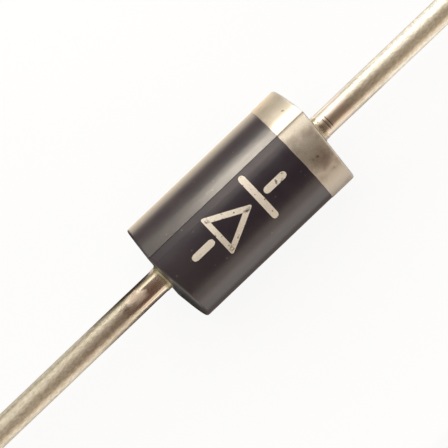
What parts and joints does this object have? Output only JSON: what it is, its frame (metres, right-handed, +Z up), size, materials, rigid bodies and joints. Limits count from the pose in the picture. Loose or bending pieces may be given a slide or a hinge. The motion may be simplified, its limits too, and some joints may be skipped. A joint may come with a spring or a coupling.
{
  "type": "axial rectifier diode",
  "caption": "Axial rectifier diode: black moulded cylinder with a silver cathode band and a tinned wire lead out of each end.",
  "frame": {"origin": "middle of the moulded case, on the axis of the leads", "axes": "+X along the leads towards the cathode, the end with the silver band; +Z up as the diode lies on its side"},
  "size_m": [0.0604, 0.0052, 0.0052],
  "materials": {
    "epoxy": "semi-gloss moulded epoxy",
    "silver_ink": "satin silver ink",
    "tinned_copper": "solder-dipped copper wire",
    "silicon": "smooth",
    "solder": "reflowed",
    "silicone": "cured bead"
  },
  "bodies": {
    "root": {"epoxy_body": "epoxy", "cathode_band": "silver_ink", "anode_lead": "tinned_copper", "cathode_lead": "tinned_copper", "silicon_die": "silicon", "anode_solder": "solder", "cathode_solder": "solder", "junction_coating": "silicone"}
  },
  "joints": []
}
